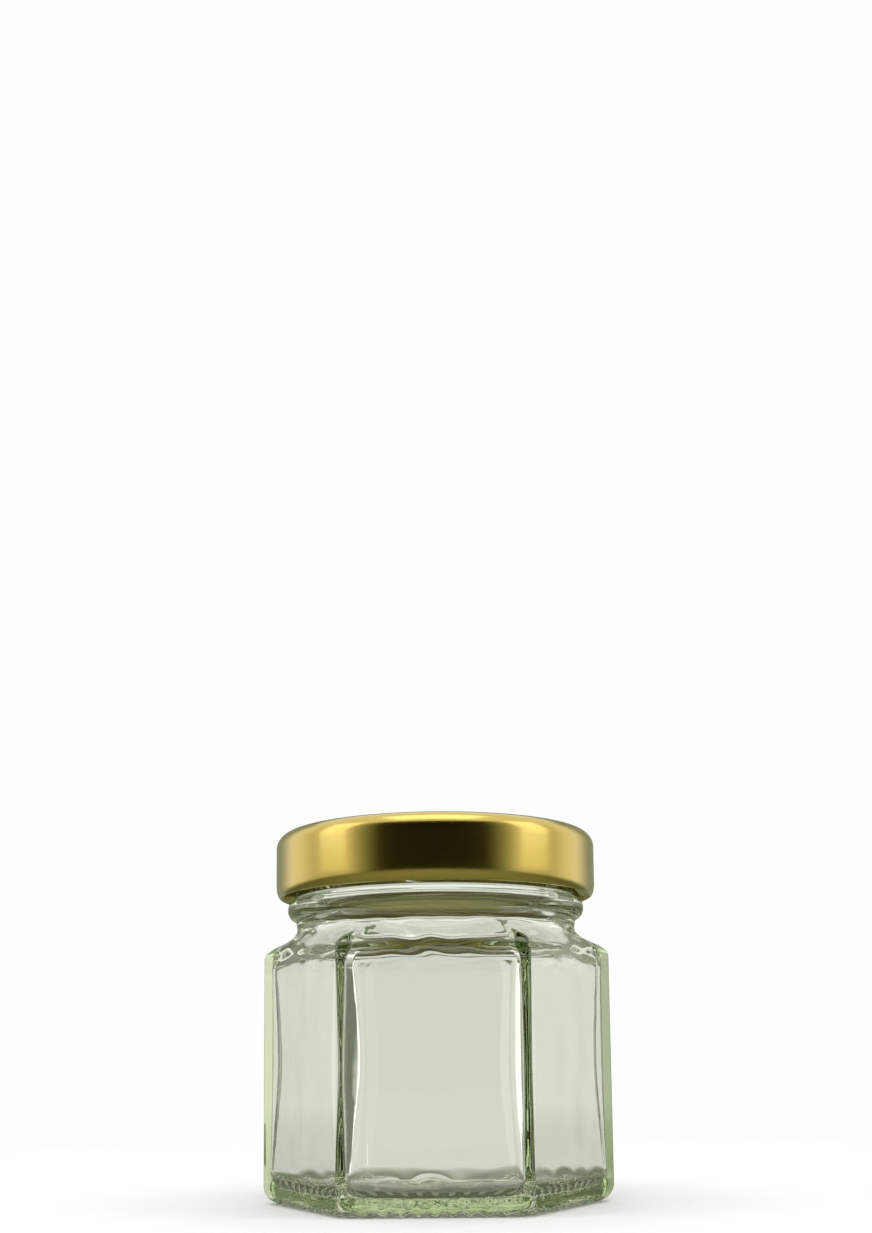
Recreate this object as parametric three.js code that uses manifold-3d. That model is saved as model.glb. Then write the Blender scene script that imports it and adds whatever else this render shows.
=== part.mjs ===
// A small hexagonal glass jar closed by a gold twist-off lid, with its seal ring.
// Millimetres, +Z up. The origin is the centre of the base, a flat side faces -Y
// and two of the six corners lie on the X axis.
import * as THREE from 'three';
import { mergeVertices } from 'three/addons/utils/BufferGeometryUtils.js';
import Module from 'manifold-3d';

const wasm = await Module();
wasm.setup();

const DEG = Math.PI / 180;
const SECTOR = 60 * DEG;

// Outside of the glass body: half the width across flats, and how its corners are rounded
const BODY = { apothem: 21.6, corner: 1, top: 34.6 };
const HEEL = { inset: 1.2, bottom: 0.2, top: 2.3, corner: 6 };
const HEEL_STEPS = 4;
const BEARING = { outer: 20.1, inner: 18.7, corner: 10 };
const PUSH_UP = [
  { r: 8, z: 1.23 },
  { r: 13, z: 0.8 },
  { r: 16, z: 0.44 },
];
const PUSH_UP_TOP = 1.5;

// Neck and mouth: a narrow waist, a glass bead, and the threaded wall up to the rim
const NECK = { waist: 19.9, waistZ: 38.6, wall: 20.1, bore: 17.5 };
const BEAD = { r: 21.25, z: 41.4, halfHeight: 1.45 };
const RIM = { top: 50.8, round: 0.8 };
// Share of its height that the shoulder stays upright at each end
const SHOULDER_BEND = 0.44;

// Inside of the glass: how thick the wall is and how round the corners are, going up
const WALLS = [
  { wall: 2.1, corner: 1.8, z: 4.8 },
  { wall: 2.2, corner: 3, z: 10 },
  { wall: 2.4, corner: 4.8, z: 19 },
  { wall: 2.4, corner: 3.8, z: 27 },
  { wall: 2.3, corner: 2.4, z: 32.6 },
];
const BORE_BOTTOM = 38;
const INNER_HEEL = { inset: 2.2, floor: 2.2, corner: 12 };
// The floor's dome, which follows the push-up, from its foot to its top
const FLOOR = [
  { r: 13, z: 2.24 },
  { r: 9, z: 2.79 },
  { r: 5, z: 3.5 },
];
const FLOOR_TOP = 3.9;

// Four thread ramps, each falling clockwise as seen from above
const THREAD = {
  count: 4, first: -64, sweep: 72, steps: 14, topZ: 48.3, fall: 0.066,
  root: 19.6, crest: 21.0, rootHalf: 0.9, crestHalf: 0.45, run: 12,
};

// Lid of thin tinplate
const LID = {
  r: 22.9, wall: 0.4, top: 52.3, bottom: 43.1, edge: 2.15, curl: 0.65, curlRise: 1.8,
  panelR: 16.2, panelSlope: 1.0, panelDrop: 0.5, segments: 64,
};
const LUG = { count: 4, first: -99, sweep: 21, tip: 20.5, root: 22.1, bottom: 43.3, height: 0.85 };

// Soft ring in the lid that meets the glass rim
const SEAL = { inner: 17.9, outer: 21.2, bottom: 51.0, top: 51.7 };

// Directions in one sixth of the way round, measured from a corner in degrees
const CORNER_OFFSETS = [0, 1.2, 2.6, 5.5, 11, 20, 30, 40, 49, 54.5, 57.4, 58.8];
const ANGLES = [];
for (let sector = 0; sector < 6; sector++) {
  for (const offset of CORNER_OFFSETS) ANGLES.push((sector * 60 + offset) * DEG);
}

// Distance from the axis to a regular hexagon with rounded corners, in one direction.
// A corner radius equal to the apothem makes it a circle.
function hexRadius(angle, apothem, corner) {
  const off = Math.abs(angle - Math.round(angle / SECTOR) * SECTOR);
  const centre = (apothem - corner) / Math.cos(SECTOR / 2);
  const tangentX = centre + corner * Math.cos(SECTOR / 2);
  const tangentY = corner * Math.sin(SECTOR / 2);
  if (off >= Math.atan2(tangentY, tangentX)) return apothem / Math.cos(SECTOR / 2 - off);
  return centre * Math.cos(off) + Math.sqrt(corner ** 2 - (centre * Math.sin(off)) ** 2);
}

function hexRing(apothem, corner, z) {
  return ANGLES.map((angle) => {
    const r = hexRadius(angle, apothem, corner);
    return new THREE.Vector3(r * Math.cos(angle), r * Math.sin(angle), z);
  });
}

function circleRing(r, z) {
  return hexRing(r, r, z);
}

// Rings that lead from one ring to another along an S-curve, without the two ends.
// It leaves both rings upright, and bend says how far it stays so.
function sCurve(from, to, steps, bend) {
  const rings = [];
  for (let step = 1; step < steps; step++) {
    const t = step / steps;
    const share = t * t * (3 - 2 * t);
    const rise = 3 * bend * t * (1 - t) ** 2 + 3 * (1 - bend) * t * t * (1 - t) + t ** 3;
    rings.push(from.map((point, i) => new THREE.Vector3(
      THREE.MathUtils.lerp(point.x, to[i].x, share),
      THREE.MathUtils.lerp(point.y, to[i].y, share),
      THREE.MathUtils.lerp(point.z, to[i].z, rise),
    )));
  }
  return rings;
}

// Rings along a quarter ellipse of a rounded heel, from its bottom or inner end upwards
function heelRings(bottom, top, steps) {
  const rings = [];
  for (let step = 0; step <= steps; step++) {
    const turn = (step / steps) * 90 * DEG;
    const a = THREE.MathUtils.lerp(bottom.a, top.a, Math.sin(turn));
    const z = THREE.MathUtils.lerp(top.z, bottom.z, Math.cos(turn));
    const corner = THREE.MathUtils.lerp(bottom.corner, top.corner, step / steps);
    rings.push(hexRing(a, corner, z));
  }
  return rings;
}

// One closed surface over a chain of rings that starts and ends in a point on the axis.
// The chain runs out along the underside, up the outside and back in over the top.
function closedSurface(firstZ, rings, lastZ) {
  const count = rings[0].length;
  const points = [new THREE.Vector3(0, 0, firstZ), ...rings.flat(), new THREE.Vector3(0, 0, lastZ)];
  const last = points.length - 1;
  const index = [];
  for (let i = 0; i < count; i++) {
    const next = (i + 1) % count;
    index.push(0, 1 + next, 1 + i);
    for (let k = 0; k < rings.length - 1; k++) {
      const lower = 1 + k * count;
      const upper = lower + count;
      index.push(lower + i, lower + next, upper + next);
      index.push(lower + i, upper + next, upper + i);
    }
    index.push(last - count + i, last - count + next, last);
  }
  return new THREE.BufferGeometry().setFromPoints(points).setIndex(index);
}

// A closed geometry as a solid for joining, and back
function toSolid(geometry) {
  const bare = geometry.clone();
  bare.deleteAttribute('normal');
  bare.deleteAttribute('uv');
  const merged = mergeVertices(bare, 1e-4);
  return new wasm.Manifold(new wasm.Mesh({
    numProp: 3,
    vertProperties: new Float32Array(merged.attributes.position.array),
    triVerts: new Uint32Array(merged.index.array),
  }));
}

function toGeometry(solid) {
  const mesh = solid.getMesh();
  const geometry = new THREE.BufferGeometry();
  geometry.setAttribute('position', new THREE.BufferAttribute(mesh.vertProperties, 3));
  geometry.setIndex(new THREE.BufferAttribute(mesh.triVerts, 1));
  geometry.computeVertexNormals();
  return geometry;
}

// Outside of the glass from the push-up in the base to the waist of the neck
function outerBodyRings() {
  const heelBottom = { a: BODY.apothem - HEEL.inset, corner: HEEL.corner, z: HEEL.bottom };
  const heelTop = { a: BODY.apothem, corner: BODY.corner, z: HEEL.top };
  const bodyTop = hexRing(BODY.apothem, BODY.corner, BODY.top);
  const waist = circleRing(NECK.waist, NECK.waistZ);
  return [
    ...PUSH_UP.map(({ r, z }) => circleRing(r, z)),
    hexRing(BEARING.inner, BEARING.corner, 0),
    hexRing(BEARING.outer, BEARING.corner, 0),
    ...heelRings(heelBottom, heelTop, HEEL_STEPS),
    bodyTop,
    ...sCurve(bodyTop, waist, 8, SHOULDER_BEND),
    waist,
  ];
}

// Bead, threaded wall and rim, over the top and down into the bore
function finishRings() {
  const bead = [];
  for (let turn = -90; turn <= 90; turn += 22.5) {
    const bulge = (BEAD.r - NECK.wall) * Math.cos(turn * DEG);
    bead.push(circleRing(NECK.wall + bulge, BEAD.z + BEAD.halfHeight * Math.sin(turn * DEG)));
  }
  const lip = [];
  for (let turn = 0; turn <= 180; turn += 30) {
    const side = turn <= 90 ? NECK.wall - RIM.round : NECK.bore + RIM.round;
    const out = RIM.round * Math.cos(turn * DEG);
    lip.push(circleRing(side + out, RIM.top - RIM.round * (1 - Math.sin(turn * DEG))));
    if (turn === 90) lip.push(circleRing(NECK.bore + RIM.round, RIM.top));
  }
  return [...bead, ...lip];
}

// Inside of the glass from the bore down to the floor
function innerRings() {
  const boreBottom = circleRing(NECK.bore, BORE_BOTTOM);
  const walls = WALLS.map(({ wall, corner, z }) => hexRing(BODY.apothem - wall, corner, z));
  const heelTop = { a: BODY.apothem - WALLS[0].wall, corner: WALLS[0].corner, z: WALLS[0].z };
  const floorEdge = {
    a: heelTop.a - INNER_HEEL.inset, corner: INNER_HEEL.corner, z: INNER_HEEL.floor,
  };
  return [
    boreBottom,
    ...sCurve(boreBottom, walls[walls.length - 1], 6, SHOULDER_BEND),
    ...walls.reverse(),
    ...heelRings(floorEdge, heelTop, HEEL_STEPS).reverse().slice(1),
    ...FLOOR.map(({ r, z }) => circleRing(r, z)),
  ];
}

// One thread ramp: a tapered bar bent round the neck, fading out at both ends
function threadSolid(startDegrees) {
  const points = [];
  for (let step = 0; step <= THREAD.steps; step++) {
    const swept = (step / THREAD.steps) * THREAD.sweep;
    const fade = Math.min(1, (swept + 1) / THREAD.run, (THREAD.sweep - swept + 1) / THREAD.run);
    const angle = (startDegrees - swept) * DEG;
    const z = THREAD.topZ - THREAD.fall * swept;
    const crest = THREAD.root + (THREAD.crest - THREAD.root) * fade;
    const section = [
      [THREAD.root, -THREAD.rootHalf],
      [crest, -THREAD.crestHalf * fade],
      [crest, THREAD.crestHalf * fade],
      [THREAD.root, THREAD.rootHalf],
    ];
    for (const [r, dz] of section) {
      points.push(new THREE.Vector3(r * Math.cos(angle), r * Math.sin(angle), z + dz));
    }
  }
  const index = [0, 2, 1, 0, 3, 2];
  for (let step = 0; step < THREAD.steps; step++) {
    for (let side = 0; side < 4; side++) {
      const a = step * 4 + side;
      const b = step * 4 + ((side + 1) % 4);
      index.push(a, b + 4, a + 4);
      index.push(a, b, b + 4);
    }
  }
  const end = THREAD.steps * 4;
  index.push(end, end + 1, end + 2, end, end + 2, end + 3);
  return toSolid(new THREE.BufferGeometry().setFromPoints(points).setIndex(index));
}

function makeJar() {
  const rings = [...outerBodyRings(), ...finishRings(), ...innerRings()];
  let jar = toSolid(closedSurface(PUSH_UP_TOP, rings, FLOOR_TOP));
  for (let i = 0; i < THREAD.count; i++) {
    jar = jar.add(threadSolid(THREAD.first + (i * 360) / THREAD.count));
  }
  const glass = new THREE.MeshStandardMaterial({
    name: 'glass', color: 0xdfe6d6, roughness: 0.05, metalness: 0, transparent: true, opacity: 0.35,
  });
  return named('jar', toGeometry(jar), glass);
}

// Closed outline of the lid's sheet, from the middle of its underside out, down to the
// curl and back over the outside
function lidProfile() {
  const cornerR = LID.r - LID.edge;
  const cornerZ = LID.top - LID.edge;
  const under = LID.top - LID.wall;
  const inner = LID.r - LID.wall;
  const curlR = LID.r - LID.curl;
  const curlZ = LID.bottom + LID.curl;
  const path = new THREE.Path();
  path.moveTo(0, under - LID.panelDrop);
  path.lineTo(LID.panelR, under - LID.panelDrop);
  path.lineTo(LID.panelR + LID.panelSlope, under);
  path.lineTo(cornerR, under);
  path.absarc(cornerR, cornerZ, LID.edge - LID.wall, 90 * DEG, 0, true);
  path.lineTo(inner, curlZ + 2 * LID.curl);
  path.lineTo(curlR - LID.curl, curlZ + LID.curl * 0.4);
  path.absarc(curlR, curlZ, LID.curl, 180 * DEG, 270 * DEG, false);
  path.absellipse(curlR, LID.bottom + LID.curlRise, LID.curl, LID.curlRise, 270 * DEG, 360 * DEG, false, 0);
  path.lineTo(LID.r, cornerZ);
  path.absarc(cornerR, cornerZ, LID.edge, 0, 90 * DEG, false);
  path.lineTo(LID.panelR + LID.panelSlope, LID.top);
  path.lineTo(LID.panelR, LID.top - LID.panelDrop);
  path.lineTo(0, LID.top - LID.panelDrop);
  return path.getPoints(3);
}

// One lug: the stretch of the curl that is pressed inwards to hold under a thread
function lugSolid(middleDegrees) {
  const from = (middleDegrees - LUG.sweep / 2) * DEG;
  const to = (middleDegrees + LUG.sweep / 2) * DEG;
  const taper = 2 * DEG;
  const shape = new THREE.Shape();
  shape.absarc(0, 0, LUG.root, from - taper, to + taper, false);
  shape.absarc(0, 0, LUG.tip, to - taper, from + taper, true);
  const depth = LUG.height;
  const lug = new THREE.ExtrudeGeometry(shape, { depth, bevelEnabled: false, curveSegments: 8 });
  return toSolid(lug.translate(0, 0, LUG.bottom));
}

function makeLid() {
  const turned = new THREE.LatheGeometry(lidProfile(), LID.segments).rotateX(90 * DEG);
  let lid = toSolid(turned);
  for (let i = 0; i < LUG.count; i++) {
    lid = lid.add(lugSolid(LUG.first + (i * 360) / LUG.count));
  }
  const gold = new THREE.MeshStandardMaterial({
    name: 'gold_lacquer', color: 0xd9bd62, roughness: 0.28, metalness: 1,
  });
  return named('lid', toGeometry(lid), gold);
}

function makeSeal() {
  const path = new THREE.Path();
  path.moveTo(SEAL.inner, SEAL.bottom);
  path.lineTo(SEAL.outer, SEAL.bottom);
  path.lineTo(SEAL.outer, SEAL.top);
  path.lineTo(SEAL.inner, SEAL.top);
  path.closePath();
  const ring = new THREE.LatheGeometry(path.getPoints(), LID.segments).rotateX(90 * DEG);
  const plastisol = new THREE.MeshStandardMaterial({
    name: 'plastisol', color: 0xe9e4d6, roughness: 0.6, metalness: 0,
  });
  return named('seal', ring, plastisol);
}

function named(name, geometry, material) {
  const mesh = new THREE.Mesh(geometry, material);
  mesh.name = name;
  return mesh;
}

const jar = new THREE.Group();
jar.add(makeJar(), makeLid(), makeSeal());

export default jar;
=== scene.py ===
# %% [markdown]
# A small hexagonal jar of clear glass, closed by a gold twist-off lid.
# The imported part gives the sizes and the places. This lesson makes the fine surfaces: glass that
# bends light, a lid of lacquered tinplate with its scratches, and the soft ring in the lid.

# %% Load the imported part
import math

import bpy
import numpy as np
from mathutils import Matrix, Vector


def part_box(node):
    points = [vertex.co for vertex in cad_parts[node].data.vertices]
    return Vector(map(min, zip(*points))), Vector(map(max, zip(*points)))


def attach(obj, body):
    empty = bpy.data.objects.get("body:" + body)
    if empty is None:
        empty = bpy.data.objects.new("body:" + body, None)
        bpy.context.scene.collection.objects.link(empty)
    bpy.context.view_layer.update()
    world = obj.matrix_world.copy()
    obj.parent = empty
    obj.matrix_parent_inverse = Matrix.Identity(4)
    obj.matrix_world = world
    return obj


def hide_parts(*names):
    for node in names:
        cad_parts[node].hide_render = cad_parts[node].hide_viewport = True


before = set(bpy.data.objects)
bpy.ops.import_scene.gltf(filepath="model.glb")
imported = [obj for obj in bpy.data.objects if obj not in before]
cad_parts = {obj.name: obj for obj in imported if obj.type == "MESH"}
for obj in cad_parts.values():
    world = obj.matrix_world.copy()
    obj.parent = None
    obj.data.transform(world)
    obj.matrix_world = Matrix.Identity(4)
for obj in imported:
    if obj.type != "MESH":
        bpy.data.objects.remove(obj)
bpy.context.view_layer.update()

MM = 0.001
JAR_LOW, JAR_HIGH = (np.array(corner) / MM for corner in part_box("jar"))
LID_LOW, LID_HIGH = (np.array(corner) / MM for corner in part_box("lid"))
SEAL_LOW, SEAL_HIGH = (np.array(corner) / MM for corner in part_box("seal"))
print("jar box in mm", JAR_LOW.round(2), JAR_HIGH.round(2))

# %% [markdown]
# Two helpers serve every finish. Colours are picked as sRGB hex values, the way a colour picker on
# a photograph gives them, but shaders work in linear light, so one function turns them. The other
# adds a shader node, sets it and links it, which keeps each material short enough to read.

# %% Colour and node helpers
def linear(hex_value):
    channels = [int(hex_value[i:i + 2], 16) / 255 for i in (1, 3, 5)]
    return (*(c / 12.92 if c <= 0.04045 else ((c + 0.055) / 1.055) ** 2.4 for c in channels), 1.0)


def add_node(tree, kind, settings=None, **inputs):
    """Adds a node. A value in inputs sets a socket, and a socket there is linked to it."""
    node = tree.nodes.new(kind)
    for name, value in (settings or {}).items():
        setattr(node, name, value)
    for name, value in inputs.items():
        key = int(name[1:]) if name[1:].isdigit() and name[0] == "i" else name.replace("_", " ")
        if isinstance(value, bpy.types.NodeSocket):
            tree.links.new(value, node.inputs[key])
        else:
            node.inputs[key].default_value = value
    return node


def new_material(name):
    material = bpy.data.materials.new(name)
    material.use_nodes = True
    material.node_tree.nodes.clear()
    return material


# %% [markdown]
# Both the glass and the lid are shapes that run round an axis, so both are made as a chain of
# rings: each ring is a list of radii and heights at fixed directions, and neighbouring rings are
# joined by four-sided faces. A lathe alone would give round shapes only. Rings of numbers can be
# six-sided in one place, round in another, and carry threads or lugs in between.

# %% Rings to a mesh
def ring(angles, radius, height):
    radius = np.broadcast_to(radius, angles.shape)
    height = np.broadcast_to(height, angles.shape)
    return np.stack([radius * np.cos(angles), radius * np.sin(angles), height], axis=1)


def mesh_from_rings(name, rings, first_pole=None, last_pole=None):
    """Joins rings given in mm. With no poles the chain closes on itself, as a torus does."""
    count = len(rings[0])
    points = np.concatenate(rings)
    here = np.arange(count)
    beyond = np.roll(here, -1)
    faces = []
    closes = first_pole is None
    for k in range(len(rings) if closes else len(rings) - 1):
        low = k * count
        high = ((k + 1) % len(rings)) * count
        faces += np.stack([low + here, low + beyond, high + beyond, high + here], axis=1).tolist()
    if not closes:
        first, last = len(points), len(points) + 1
        points = np.vstack([points, [0, 0, first_pole], [0, 0, last_pole]])
        top = (len(rings) - 1) * count
        faces += [[first, int(b), int(a)] for a, b in zip(here, beyond)]
        faces += [[top + int(a), top + int(b), last] for a, b in zip(here, beyond)]
    mesh = bpy.data.meshes.new(name)
    mesh.from_pydata((points * MM).tolist(), [], faces)
    mesh.shade_smooth()
    mesh.validate()
    made = bpy.data.objects.new(name, mesh)
    bpy.context.collection.objects.link(made)
    print(name, len(points), "points,", len(faces), "faces")
    return made


# %% [markdown]
# The body of the glass is a regular hexagon whose corners are rounded. In polar form its radius is
# a flat line's distance, a / cos(angle), until the corner's arc takes over. When the corner radius
# grows to the full half width the same formula gives a circle, so one function serves body, neck
# and mouth.

# %% The rounded hexagon
SECTOR = math.radians(60)
EVEN_ANGLES = np.radians(np.arange(360))
CORNER_EXTRAS = np.radians([-1.15, -0.9, -0.45, 0.45, 0.9, 1.15])
CORNER_ANGLES = (np.arange(6)[:, None] * SECTOR + CORNER_EXTRAS).ravel() % math.tau
ANGLES = np.sort(np.concatenate([EVEN_ANGLES, CORNER_ANGLES]))


def hex_radius(apothem, corner, angles=ANGLES):
    off = np.abs(angles - np.round(angles / SECTOR) * SECTOR)
    centre = (apothem - corner) / math.cos(SECTOR / 2)
    reach = centre + corner * math.cos(SECTOR / 2)
    tangent = math.atan2(corner * math.sin(SECTOR / 2), reach)
    flat = apothem / np.cos(SECTOR / 2 - off)
    under_root = np.maximum(corner ** 2 - (centre * np.sin(off)) ** 2, 0)
    return np.where(off >= tangent, flat, centre * np.cos(off) + np.sqrt(under_root))


print(len(ANGLES), "points in each ring of the glass")

# %% [markdown]
# Outside of the glass, bottom to top. The underside rises to a push-up, so that the jar stands on
# a ring and not on its middle, and it is faintly wavy where the hot glass met a cooler plate. The
# heel is a quarter ellipse. The shoulder is an S-curve from the hexagon to the round neck: it
# leaves both walls upright, and it is steep on the flats but shelves at the corners, where it has
# further to go.

# %% Outside of the glass
APOTHEM = JAR_HIGH[1]
RIM_TOP = JAR_HIGH[2]
CORNER = 1.0
HEEL_BOTTOM, HEEL_TOP, HEEL_INSET, HEEL_CORNER = 0.2, 2.3, 1.2, 6.0
BEARING_OUTER, BEARING_INNER, BEARING_CORNER = 20.1, 18.7, 10.0
PUSH_UP = 1.9
BODY_TOP, WAIST_Z, WAIST_R = 34.6, 38.6, 19.9
WALL_R, BEAD_R, BEAD_Z, BEAD_HALF = 20.1, 21.25, 41.4, 1.45
SHOULDER_BEND = 0.44
BASE_WAVES = ((1.1, 0.3, 0, 0.08), (0.5, -1.2, 1, 0.08), (0.7, 1.4, 3, 0.08),
              (2.6, 1.2, 0.5, 0.05), (1.9, -2.4, 2.5, 0.05))


def crossed_waves(x, y, waves):
    """A sum of waves, each given as radians per mm along x and along y, phase, height in mm."""
    return sum(height * np.cos(kx * x + ky * y + phase) for kx, ky, phase, height in waves)


def heel_rings(low, high, steps):
    """Rings on a quarter ellipse between (apothem, corner, height) of its low and high end."""
    rings = []
    for turn in np.linspace(0, math.pi / 2, steps):
        share = turn / (math.pi / 2)
        apothem = low[0] + (high[0] - low[0]) * math.sin(turn)
        height = high[2] + (low[2] - high[2]) * math.cos(turn)
        rings.append(ring(ANGLES, hex_radius(apothem, low[1] + (high[1] - low[1]) * share), height))
    return rings


def s_curve(start, end, steps):
    """Rings between two rings, upright at both ends."""
    low, high = 3 * SHOULDER_BEND, 3 * (1 - SHOULDER_BEND)
    rings = []
    for t in np.linspace(0, 1, steps + 1)[1:-1]:
        share = t * t * (3 - 2 * t)
        rise = low * t * (1 - t) ** 2 + high * t * t * (1 - t) + t ** 3
        rings.append(start + (end - start) * np.array([share, share, rise]))
    return rings


def base_rings():
    """The underside from near its middle out, with waves that fade at both ends."""
    rings = []
    for share in np.linspace(0.05, 1, 40):
        corner = BEARING_INNER * share - (BEARING_INNER - BEARING_CORNER) * share ** 4
        radius = hex_radius(BEARING_INNER * share, corner)
        wave = crossed_waves(radius * np.cos(ANGLES), radius * np.sin(ANGLES), BASE_WAVES)
        rise = PUSH_UP * (1 - share ** 3) + wave * share * (1 - share ** 12)
        rings.append(ring(ANGLES, radius, rise))
    for share in np.linspace(0, 1, 6)[1:]:
        apothem = BEARING_INNER + (BEARING_OUTER - BEARING_INNER) * share
        rings.append(ring(ANGLES, hex_radius(apothem, BEARING_CORNER), 0.0))
    return rings


def body_rings():
    heel_low = (APOTHEM - HEEL_INSET, HEEL_CORNER, HEEL_BOTTOM)
    heel = heel_rings(heel_low, (APOTHEM, CORNER, HEEL_TOP), 14)
    side = hex_radius(APOTHEM, CORNER)
    walls = [ring(ANGLES, side, z) for z in np.linspace(HEEL_TOP, BODY_TOP, 9)[1:]]
    waist = ring(ANGLES, WAIST_R, WAIST_Z)
    return heel + walls + s_curve(walls[-1], waist, 24) + [waist]


# %% [markdown]
# The finish, as glassmakers call the threaded mouth, has four short ramps instead of one long
# thread, so a quarter turn opens the jar. Each ramp is a rise in the wall's radius along a slanted
# line. A ramp made as a bar of its own would have to be cut into the glass, and any face left
# inside would show as a crack in clear glass. A rise in the radius has no such face.

# %% Threads, bead and rim
THREADS = 4
THREAD_FIRST, THREAD_SWEEP, THREAD_FADE = -64.0, 72.0, 12.0
THREAD_TOP, THREAD_FALL = 48.3, 0.066
THREAD_RISE, THREAD_ROOT = 1.4, 0.5
THREAD_HALF_CREST, THREAD_HALF_ROOT = 0.42, 0.78
RIM_ROUND = 0.8
BORE_R = 17.5


def smooth_step(low, high, value):
    t = np.clip((value - low) / (high - low), 0, 1)
    return t * t * (3 - 2 * t)


def thread_rise(height):
    """How far the thread ramps stand out of the wall at one height, in every direction."""
    rise = np.zeros_like(ANGLES)
    for k in range(THREADS):
        start = THREAD_FIRST + 360 / THREADS * k
        swept = (start - np.degrees(ANGLES)) % 360
        ends = np.minimum(swept + 1, THREAD_SWEEP - swept + 1) / THREAD_FADE
        tall = np.clip(THREAD_RISE * np.clip(ends, 0, 1) - THREAD_ROOT, 0, None)
        across = np.abs(height - (THREAD_TOP - THREAD_FALL * swept))
        section = 1 - smooth_step(THREAD_HALF_CREST, THREAD_HALF_ROOT, across)
        rise = np.maximum(rise, tall * section * (swept <= THREAD_SWEEP))
    return rise


def finish_rings():
    rings = []
    for turn in np.radians(np.linspace(-90, 90, 19)):
        bulge = (BEAD_R - WALL_R) * math.cos(turn)
        height = BEAD_Z + BEAD_HALF * math.sin(turn)
        radius = WALL_R + np.maximum(bulge, thread_rise(height))
        rings.append(ring(ANGLES, radius, height))
    bead_top = BEAD_Z + BEAD_HALF
    for height in np.linspace(bead_top, RIM_TOP - RIM_ROUND, 35)[1:]:
        rings.append(ring(ANGLES, WALL_R + thread_rise(height), height))
    for turn in np.radians(np.linspace(0, 90, 6)[1:]):
        radius = WALL_R - RIM_ROUND * (1 - math.cos(turn))
        rings.append(ring(ANGLES, radius, RIM_TOP - RIM_ROUND * (1 - math.sin(turn))))
    for turn in np.radians(np.linspace(90, 180, 6)):
        radius = BORE_R + RIM_ROUND * (1 + math.cos(turn))
        rings.append(ring(ANGLES, radius, RIM_TOP - RIM_ROUND * (1 - math.sin(turn))))
    return rings


# %% [markdown]
# The inside is blown, not moulded, so nothing there is exact. Its corners are cut back to a flat
# slant, most of all halfway up, and each corner by its own amount. That slant turns the corner into
# a prism, which is where the dark strips beside the ridges come from. A plain offset of the outside
# would be quicker, but it would give even corners with no strips.

# %% Inside: walls with slanted corners
WALL_HEIGHTS = (4.8, 10.0, 19.0, 27.0, 32.6)
WALL_THICKNESS = (2.1, 2.2, 2.4, 2.4, 2.3)
CORNER_CUTS = (0.16, 0.36, 0.66, 0.52, 0.34)
CUT_OF_CORNER = np.array([1.7, 1.15, 0.8, 1.8, 1.35, 0.75])
CUT_SOFTNESS = 0.12
INNER_EDGE = 0.8


def smooth_between(height, heights, values):
    """A smooth curve through a few values, by a cubic with the slopes of the neighbours."""
    slopes = np.gradient(values, heights)
    i = int(np.clip(np.searchsorted(heights, height) - 1, 0, len(heights) - 2))
    span = heights[i + 1] - heights[i]
    t = (height - heights[i]) / span
    start = values[i] * (1 + 2 * t) * (1 - t) ** 2 + slopes[i] * span * t * (1 - t) ** 2
    end = values[i + 1] * t * t * (3 - 2 * t) - slopes[i + 1] * span * t * t * (1 - t)
    return start + end


def slanted_hexagon(apothem, cut):
    """A hexagon whose corners are cut back from sharp by a slanted flat."""
    nearest = np.round(ANGLES / SECTOR)
    reach = apothem / math.cos(SECTOR / 2) - cut * CUT_OF_CORNER[nearest.astype(int) % 6]
    slant = reach / np.cos(ANGLES - nearest * SECTOR)
    walls = hex_radius(apothem, INNER_EDGE)
    mix = np.clip(0.5 + 0.5 * (slant - walls) / CUT_SOFTNESS, 0, 1)
    return slant * (1 - mix) + walls * mix - CUT_SOFTNESS * mix * (1 - mix)


def wall_rings():
    rings = []
    for height in np.linspace(WALL_HEIGHTS[-1], WALL_HEIGHTS[0], 24):
        apothem = APOTHEM - smooth_between(height, WALL_HEIGHTS, WALL_THICKNESS)
        cut = smooth_between(height, WALL_HEIGHTS, CORNER_CUTS)
        rings.append(ring(ANGLES, slanted_hexagon(apothem, cut), height))
    return rings


print("widest corner slant cuts", round(max(CORNER_CUTS) * CUT_OF_CORNER.max(), 2), "mm")

# %% [markdown]
# Glass that sets against air is faintly wavy. Sculpting would do, or a noise texture that displaces
# the surface. A sum of a few long waves is smoother than noise and the same on every run. The waves
# are about a tenth of a millimetre high at most on the walls and the shoulder, and a few tenths on
# the thick floor. That is enough to break the clean lines of a drawn shape.

# %% Inside: long waves
WALL_WAVE, SHOULDER_WAVE, INNER_HEEL_WAVE = 0.012, 0.045, 0.05
CHANCE = np.random.default_rng(43)
WAVES = [(round(m), n, phase) for m, n, phase in zip(
    CHANCE.uniform(3, 26, 14), CHANCE.uniform(-2.2, 2.2, 14), CHANCE.uniform(0, math.tau, 14))]


def waved(rings, height_mm):
    """Moves the points of rings to and from the axis by a sum of long waves."""
    made = []
    for points in rings:
        z = points[:, 2]
        wave = sum(np.cos(m * ANGLES + n * z + phase) for m, n, phase in WAVES)
        wave /= math.sqrt(len(WAVES))
        radius = np.hypot(points[:, 0], points[:, 1])
        scale = 1 + height_mm * wave / np.maximum(radius, 6)
        made.append(points * np.stack([scale, scale, np.ones_like(scale)], axis=1))
    return made


print(len(WAVES), "waves, with", min(m for m, _, _ in WAVES), "to", max(m for m, _, _ in WAVES),
      "crests round the jar")

# %% [markdown]
# The rest of the inside joins these walls: the round bore above, and below a rounded heel and a
# floor with a low dome over the push-up. The last ring of the floor closes on one point, and then
# the glass is a single closed skin. That matters, because light is bent and absorbed right only
# where a mesh has a clear inside.

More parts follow.
